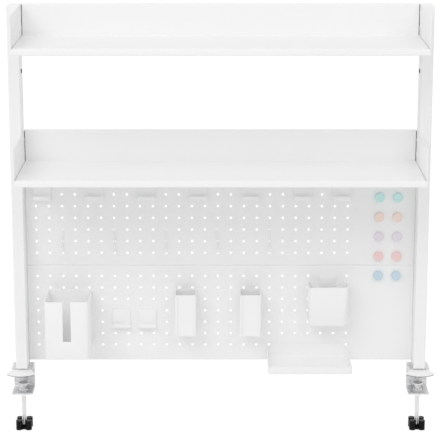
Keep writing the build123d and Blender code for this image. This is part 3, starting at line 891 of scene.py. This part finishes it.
# %% Wide hooks
PEG_RADIUS, PEG_ROOT = 2.3, 0.6
PEG_TIP = HOLDER_BACK + 8.0
HOOK_WIDTH, HOOK_THICK, HOOK_HEIGHT, HOOK_CORNER = 38.0, 3.0, 42.0, 2.5
HOOK_ABOVE_HOLE, HOOK_BEND = 4.0, 3.0
HOOK_SEAT, HOOK_LIP = 5.0, 6.0
WIDE_HOOKS = ((0, 13), (4, 13), (8, 13), (12, 13), (16, 13), (20, 13), (23, 13), (6, 3), (8, 3))


def pegs(columns, rows):
    """Round pegs through the board, with rounded tips."""
    made = []
    for column in columns:
        for row in rows:
            x, z = column_x(column), row_z(row)
            peg = add_disc(PEG_RADIUS, (x, HOLDER_BACK - PEG_ROOT, z), (x, PEG_TIP, z), 20)
            soften(peg, 0.6, 2)
            made.append(peg)
    return made


def level_edges(z):
    """A test for edges that run front to back at one height."""
    def test(edge):
        a, b = (vertex.co for vertex in edge.verts)
        return abs((a - b).normalized().y) > 0.99 and abs(a.z - z * MM) < 0.02 * MM
    return test


def wide_hook(column, row):
    x = between_columns(column, column + 1)
    top = row_z(row) + HOOK_ABOVE_HOLE
    middle_y = HOLDER_BACK - HOOK_THICK / 2
    bend_z = top - HOOK_HEIGHT + HOOK_THICK / 2 + HOOK_BEND
    hook = strip_end((x, middle_y, top), HOOK_WIDTH, HOOK_THICK)
    run(0, 0, bend_z - top)
    bend(middle_y - HOOK_BEND, bend_z)
    run(0, -HOOK_SEAT, 0)
    bend(middle_y - HOOK_BEND - HOOK_SEAT, bend_z)
    run(0, 0, HOOK_LIP)
    for height in (top, bend_z + HOOK_LIP):
        pick(hook, "EDGE", level_edges(height))
        bpy.ops.mesh.bevel(offset=HOOK_CORNER * MM, segments=4, affect="EDGES")
    only(hook)
    soften(hook, 0.55, 3)
    return join(hook, *pegs((column, column + 1), (row, row - 1)))


first_column, first_row = WIDE_HOOKS[0]
pattern = wide_hook(first_column, first_row)
for number, (column, row) in enumerate(WIDE_HOOKS, 1):
    shift = (column_x(column) - column_x(first_column), 0, row_z(row) - row_z(first_row))
    hook = copy_of(pattern, shift) if number > 1 else pattern
    node = f"flat_hook_{number}"
    dress(hook, f"wide_hook_{number}", f"{node}_body", "white_plastic", white_plastic, node)

# %% [markdown]
# The long hooks are one piece of coated wire each, bent three times, with a small ball on the tip so
# that keys slide off without catching.

# %% Wire hooks
WIRE_RADIUS, BALL_RADIUS = 1.6, 2.9
WIRE_BEND = 4.0
WIRE_DROP, WIRE_REACH, WIRE_LIP = 44.0, 28.0, 7.0
WIRE_COLUMNS, WIRE_ROW = (2, 6, 10, 14, 18), 9


def wire_hook(column, row):
    """A wire that leaves its hole at z, goes down at y and comes forward at low."""
    x, y, z = column_x(column), HOLDER_BACK - WIRE_RADIUS, row_z(row)
    low = z - WIRE_DROP
    bpy.ops.object.select_all(action="DESELECT")
    bpy.ops.mesh.primitive_circle_add(
        vertices=14, radius=WIRE_RADIUS * MM, fill_type="NGON", rotation=(math.pi / 2, 0, 0),
        location=metres((x, PEG_TIP, z)),
    )
    wire = bpy.context.object
    edit(wire)
    bpy.ops.mesh.select_all(action="SELECT")
    run(0, y + WIRE_BEND - PEG_TIP, 0)
    bend(y + WIRE_BEND, z - WIRE_BEND, -90, 8)
    run(0, 0, 2 * WIRE_BEND - WIRE_DROP)
    bend(y - WIRE_BEND, low + WIRE_BEND, 90, 8)
    run(0, 2 * WIRE_BEND - WIRE_REACH, 0)
    bend(y + WIRE_BEND - WIRE_REACH, low + WIRE_BEND, 90, 8)
    run(0, 0, WIRE_LIP - WIRE_BEND)
    only(wire)
    bpy.ops.object.select_all(action="DESELECT")
    bpy.ops.mesh.primitive_uv_sphere_add(
        segments=24, ring_count=14, radius=BALL_RADIUS * MM,
        location=metres((x, y - WIRE_REACH, low + WIRE_LIP)),
    )
    return join(wire, bpy.context.object)


pattern = wire_hook(WIRE_COLUMNS[0], WIRE_ROW)
for number, column in enumerate(WIRE_COLUMNS, 1):
    shift = (column_x(column) - column_x(WIRE_COLUMNS[0]), 0, 0)
    hook = copy_of(pattern, shift) if number > 1 else pattern
    node = f"long_hook_{number}"
    dress(hook, f"wire_hook_{number}", f"{node}_body", "white_wire", white_wire_coat, node)

# %% [markdown]
# ## Moulded boxes
#
# The holders are thin plastic shells. Each starts as a block with rounded upright corners. Its top
# is inset by the wall and pushed down almost to the bottom, as a core pin does in a mould, and then
# slots and sunk fronts are cut before all rims are softened.

# %% Box tools and the tissue box
WALL = 2.0
BOX_RIM = row_z(4) + 22.0
TISSUE_WIDTH, TISSUE_DEPTH, TISSUE_HEIGHT = 95.0, 100.0, 128.0
SLOT_WIDTH, SLOT_LENGTH = 17.0, 88.0


def open_box(low, high, radius, steps=6):
    """A thin-walled box, open on top, with rounded upright corners."""
    box = add_box(low, high)
    edit(box)
    pick(box, "EDGE", upright)
    bpy.ops.mesh.bevel(offset=radius * MM, segments=steps, affect="EDGES")
    pick(box, "FACE", facing(2, -1))
    bpy.ops.mesh.region_to_loop()
    bpy.ops.mesh.bevel(offset=0.5 * WALL * MM, segments=3, affect="EDGES")
    pick(box, "FACE", facing(2, 1, high[2] * MM))
    bpy.ops.mesh.inset(thickness=WALL * MM)
    run(0, 0, low[2] + WALL - high[2])
    bpy.ops.mesh.region_to_loop()
    bpy.ops.mesh.bevel(offset=0.4 * WALL * MM, segments=3, affect="EDGES")
    only(box)
    return box


def tissue_box():
    x = between_columns(2, 3)
    front, bottom = HOLDER_BACK - TISSUE_DEPTH, BOX_RIM - TISSUE_HEIGHT
    half, half_slot = TISSUE_WIDTH / 2, SLOT_WIDTH / 2
    box = open_box((x - half, front, bottom), (x + half, HOLDER_BACK, BOX_RIM), radius=9.0)
    slot_low = (x - half_slot, front - 2.0, BOX_RIM - SLOT_LENGTH)
    carve(box, add_box(slot_low, (x + half_slot, front + 2 * WALL, BOX_RIM + 2.0)))
    soften(box, 0.6, 3)
    return join(box, *pegs((2, 3), (4, 1)))


dress(tissue_box(), "tissue_holder", "tissue_box_body", "white_plastic", white_plastic,
      "tissue_box")

# %% [markdown]
# The pen boxes have a sunk front between two raised borders, so a second wall stands behind it.

# %% Pen boxes
PEN_WIDTH, PEN_DEPTH, PEN_HEIGHT = 46.0, 50.0, 92.0
SUNK_WIDTH, SUNK_DEPTH = 36.0, 2.5
PEN_COLUMNS = (11, 16)


def pen_box(column):
    x = between_columns(column, column + 1)
    front, bottom = HOLDER_BACK - PEN_DEPTH, BOX_RIM - PEN_HEIGHT
    half, inside, sunk = PEN_WIDTH / 2, PEN_WIDTH / 2 - WALL / 2, SUNK_WIDTH / 2
    low, high = (x - half, front, bottom), (x + half, HOLDER_BACK, BOX_RIM)
    box = open_box(low, high, radius=3.0, steps=4)
    second_low = (x - inside, front + 1.0, bottom + 1.0)
    second_high = (x + inside, front + SUNK_DEPTH + WALL, BOX_RIM)
    carve(box, add_box(second_low, second_high), "UNION")
    sunk_low = (x - sunk, front - 1.0, bottom - 1.0)
    carve(box, add_box(sunk_low, (x + sunk, front + SUNK_DEPTH, BOX_RIM + 1.0)))
    soften(box, 0.5, 3)
    return join(box, *pegs((column, column + 1), (4, 2)))


dress_pair(pen_box(PEN_COLUMNS[0]), column_x(PEN_COLUMNS[1]) - column_x(PEN_COLUMNS[0]),
           "pen_holder", "{}_pen_box_body", "white_plastic", white_plastic, "pen_box")

# %% [markdown]
# The cup tapers so that it leaves its mould easily, but its back stays straight against the board.
# The block's bottom is drawn in about a point on that back before the corners are rounded.

# %% Cup
CUP_RIM = row_z(6) - 12.0
CUP_WIDTH, CUP_DEPTH, CUP_HEIGHT, CUP_CORNER = 88.0, 52.0, 88.0, 11.0
CUP_FOOT_WIDTH, CUP_FOOT_DEPTH = 82.0, 44.0
HOLLOW_FOOT_WIDTH, HOLLOW_FOOT_DEPTH = 78.2, 40.2
TAB_WIDTH, TAB_THICK, TAB_FOOT, TAB_RISE, TAB_CORNER = 36.0, 3.0, 11.0, 16.0, 2.0


def draw_in(width, depth, new_width, new_depth, centre):
    """Shrinks what is selected, across and front to back, about a point in millimetres."""
    share = (new_width / width, new_depth / depth, 1)
    bpy.ops.transform.resize(value=share, center_override=metres(centre))


def cup():
    x = between_columns(22, 23)
    half, half_tab = CUP_WIDTH / 2, TAB_WIDTH / 2
    corner = (x - half, HOLDER_BACK - CUP_DEPTH, CUP_RIM - CUP_HEIGHT)
    body = add_box(corner, (x + half, HOLDER_BACK, CUP_RIM))
    edit(body)
    pick(body, "FACE", facing(2, -1))
    draw_in(CUP_WIDTH, CUP_DEPTH, CUP_FOOT_WIDTH, CUP_FOOT_DEPTH, (x, HOLDER_BACK, CUP_RIM))
    pick(body, "EDGE", upright)
    bpy.ops.mesh.bevel(offset=CUP_CORNER * MM, segments=7, affect="EDGES")
    pick(body, "FACE", facing(2, 1))
    bpy.ops.mesh.inset(thickness=WALL * MM)
    run(0, 0, WALL - CUP_HEIGHT)
    draw_in(CUP_WIDTH - 2 * WALL, CUP_DEPTH - 2 * WALL, HOLLOW_FOOT_WIDTH, HOLLOW_FOOT_DEPTH,
            (x, HOLDER_BACK - WALL, CUP_RIM))
    only(body)
    tab_low = (x - half_tab, HOLDER_BACK - TAB_THICK, CUP_RIM - TAB_FOOT)
    tab = add_box(tab_low, (x + half_tab, HOLDER_BACK, CUP_RIM + TAB_RISE))
    edit(tab)
    pick(tab, "EDGE", level_edges(CUP_RIM + TAB_RISE))
    bpy.ops.mesh.bevel(offset=TAB_CORNER * MM, segments=4, affect="EDGES")
    only(tab)
    soften(body, 0.6, 3)
    soften(tab, 0.5, 3)
    return join(body, tab, *pegs((22, 23), (6,)))


dress(cup(), "tapered_cup", "cup_body", "white_plastic", white_plastic, "cup")

# %% [markdown]
# The shallow tray hangs from its raised back edge, which is joined to the pan as one skin.

# %% Tray
TRAY_WIDTH, TRAY_DEPTH, TRAY_HEIGHT = 178.0, 130.0, 16.0
TRAY_RIM = row_z(0) - 8.0
BACK_WIDTH, BACK_FOOT, BACK_RISE = 164.0, 8.0, 11.0


def tray():
    x = between_columns(19, 23)
    half, half_back = TRAY_WIDTH / 2, BACK_WIDTH / 2
    corner = (x - half, HOLDER_BACK - TRAY_DEPTH, TRAY_RIM - TRAY_HEIGHT)
    pan = open_box(corner, (x + half, HOLDER_BACK, TRAY_RIM), radius=7.0)
    back_low = (x - half_back, HOLDER_BACK - WALL, TRAY_RIM - BACK_FOOT)
    carve(pan, add_box(back_low, (x + half_back, HOLDER_BACK, TRAY_RIM + BACK_RISE)), "UNION")
    soften(pan, 0.5, 3)
    return join(pan, *pegs((19, 23), (0,)))


dress(tray(), "shallow_tray", "tray_body", "white_plastic", white_plastic, "tray")

# %% [markdown]
# ## Magnets
#
# Each magnet is a disc in a plastic shell with a rounded front edge and a face that is very slightly
# dished, which keeps its highlight soft. One disc is made and copied into two columns of five.

# %% Magnets
MAGNET_RADIUS, MAGNET_THICK, MAGNET_ROUND = 10.0, 7.0, 1.2
MAGNET_X = {"left": 342.0, "right": 381.0}
MAGNET_FIRST_Z, MAGNET_STEP = 207.0, 43.6


def magnet(x, z):
    face_y = HOLDER_BACK - MAGNET_THICK
    disc = add_disc(MAGNET_RADIUS, (x, face_y, z), (x, HOLDER_BACK, z), 56)
    edit(disc)
    pick(disc, "FACE", facing(1, -1))
    bpy.ops.mesh.region_to_loop()
    bpy.ops.mesh.bevel(offset=MAGNET_ROUND * MM, segments=5, affect="EDGES")
    pick(disc, "FACE", facing(1, -1, face_y * MM))
    bpy.ops.mesh.inset(thickness=1.4 * MM)
    bpy.ops.mesh.inset(thickness=2.2 * MM, depth=-0.12 * MM)
    bpy.ops.mesh.inset(thickness=2.4 * MM, depth=-0.06 * MM)
    only(disc)
    return disc


pattern = magnet(MAGNET_X["left"], MAGNET_FIRST_Z)
for row, colour in enumerate(("blue", "red", "lilac", "peach", "teal")):
    for side, x in MAGNET_X.items():
        node = f"{colour}_{side}_magnet"
        disc = copy_of(pattern, (x - MAGNET_X["left"], 0, MAGNET_STEP * row))
        dress(disc, f"{node}_shell", f"{node}_body", f"{colour}_plastic",
              magnet_shells[colour], node)
bpy.data.objects.remove(pattern)

# %% [markdown]
# ## Camera, floor and lamps
#
# The photograph was taken from well back with a long lens, from above the upper shelf, so the camera
# is over three and a half metres away and looks down a little.

# %% Camera
CAMERA_PLACE = (0.0, -3.6734, 1.2428)
CAMERA_TILT = 13.165
CAMERA_LENS = 142.95
CAMERA_SHIFT = -0.05


def look_from(place, tilt_down, lens, shift_y):
    data = bpy.data.cameras.new("shelf camera")
    data.lens = lens
    data.sensor_width = 36.0
    data.shift_y = shift_y
    data.clip_end = 100.0
    camera = bpy.data.objects.new("shelf camera", data)
    camera.location = place
    camera.rotation_euler = (math.radians(90.0 - tilt_down), 0, 0)
    bpy.context.scene.collection.objects.link(camera)
    bpy.context.scene.camera = camera
    return camera


camera = look_from(CAMERA_PLACE, CAMERA_TILT, CAMERA_LENS, CAMERA_SHIFT)
print("camera at", tuple(camera.location), "lens", round(camera.data.lens, 1))

# %% [markdown]
# The floor shows almost plain white to the camera and in mirrors. To the light on the object it is a
# pale, matt surface that sends light up again.

# %% Floor
FLOOR_LEVEL = first_bounds[0].z - 0.2 * MM
FLOOR_SIZE = 60.0
FLOOR_GLOW = 1.04
GLOW_SHARE = 0.92


def seen_directly(tree):
    """1 for rays from the camera, in a mirror or through glass, and 0 for light on the object."""
    rays = tree.nodes.new("ShaderNodeLightPath")
    either = tree.nodes.new("ShaderNodeMath")
    any_of_three = tree.nodes.new("ShaderNodeMath")
    either.operation = any_of_three.operation = "MAXIMUM"
    tree.links.new(rays.outputs["Is Camera Ray"], either.inputs[0])
    tree.links.new(rays.outputs["Is Glossy Ray"], either.inputs[1])
    tree.links.new(either.outputs[0], any_of_three.inputs[0])
    tree.links.new(rays.outputs["Is Transmission Ray"], any_of_three.inputs[1])
    return any_of_three.outputs[0]


def pale_floor():
    recipe = Recipe("pale floor", Roughness=0.9)
    recipe.feed("Base Color", recipe.mix(recipe.noise(3.0), (0.9, 0.9, 0.9), (0.91, 0.91, 0.91)))
    matt = Value(recipe, recipe.shader.outputs[0])
    glow = recipe.node("ShaderNodeEmission", {}, {"Color": (1, 1, 1, 1), "Strength": FLOOR_GLOW})
    share = Value(recipe, seen_directly(recipe.tree)) * GLOW_SHARE
    blend = recipe.node("ShaderNodeMixShader", {}, {0: share, 1: matt, 2: glow})
    out = recipe.tree.nodes["Material Output"]
    recipe.tree.links.new(blend.socket, out.inputs["Surface"])
    return recipe.material


bpy.ops.object.select_all(action="DESELECT")
bpy.ops.mesh.primitive_plane_add(size=FLOOR_SIZE, location=(0, 0, FLOOR_LEVEL))
floor = bpy.context.object
floor.name = "floor"
floor.data.materials.append(pale_floor())
print("floor at", round(FLOOR_LEVEL, 4))

# %% [markdown]
# Two wide lamps stand in front, above the shelf, and the left one is stronger. The white sky gives
# the rest of the light, and gives a little less of it than it shows. White sheet and white boxes
# pass light on many times, so extra bounces let it reach the corners of the shelves and boxes.

# %% Lamps and sky
LAMP_HEIGHT, LAMP_SIDE, LAMP_AWAY = 3.8, 2.2, 3.2
LAMP_SIZE = 3.2
LAMP_AIM = Vector((0, 0, 0.35))
KEY_WATTS, FILL_WATTS = 54.0, 22.0
SKY_LIGHT, SKY_SEEN = 0.75, 1.0


def soft_lamp(name, place, size, power):
    data = bpy.data.lights.new(name, "AREA")
    data.shape = "DISK"
    data.size = size
    data.energy = power
    lamp = bpy.data.objects.new(name, data)
    lamp.location = place
    aim = LAMP_AIM - Vector(place)
    lamp.rotation_euler = aim.to_track_quat("-Z", "Y").to_euler()
    bpy.context.scene.collection.objects.link(lamp)


soft_lamp("key lamp", (-LAMP_SIDE, -LAMP_AWAY, LAMP_HEIGHT), LAMP_SIZE, KEY_WATTS)
soft_lamp("fill lamp", (LAMP_SIDE, -LAMP_AWAY, LAMP_HEIGHT), LAMP_SIZE, FILL_WATTS)

sky = bpy.data.worlds.new("studio sky")
sky.use_nodes = True
bpy.context.scene.world = sky
background = sky.node_tree.nodes["Background"]
background.inputs["Color"].default_value = (1, 1, 1, 1)
strength = sky.node_tree.nodes.new("ShaderNodeMapRange")
strength.inputs["To Min"].default_value = SKY_LIGHT
strength.inputs["To Max"].default_value = SKY_SEEN
sky.node_tree.links.new(seen_directly(sky.node_tree), strength.inputs["Value"])
sky.node_tree.links.new(strength.outputs[0], background.inputs["Strength"])
bpy.context.scene.view_settings.view_transform = "Standard"
bpy.context.scene.cycles.diffuse_bounces = 12
bpy.context.scene.cycles.max_bounces = 16
print("two soft lamps and a white sky")
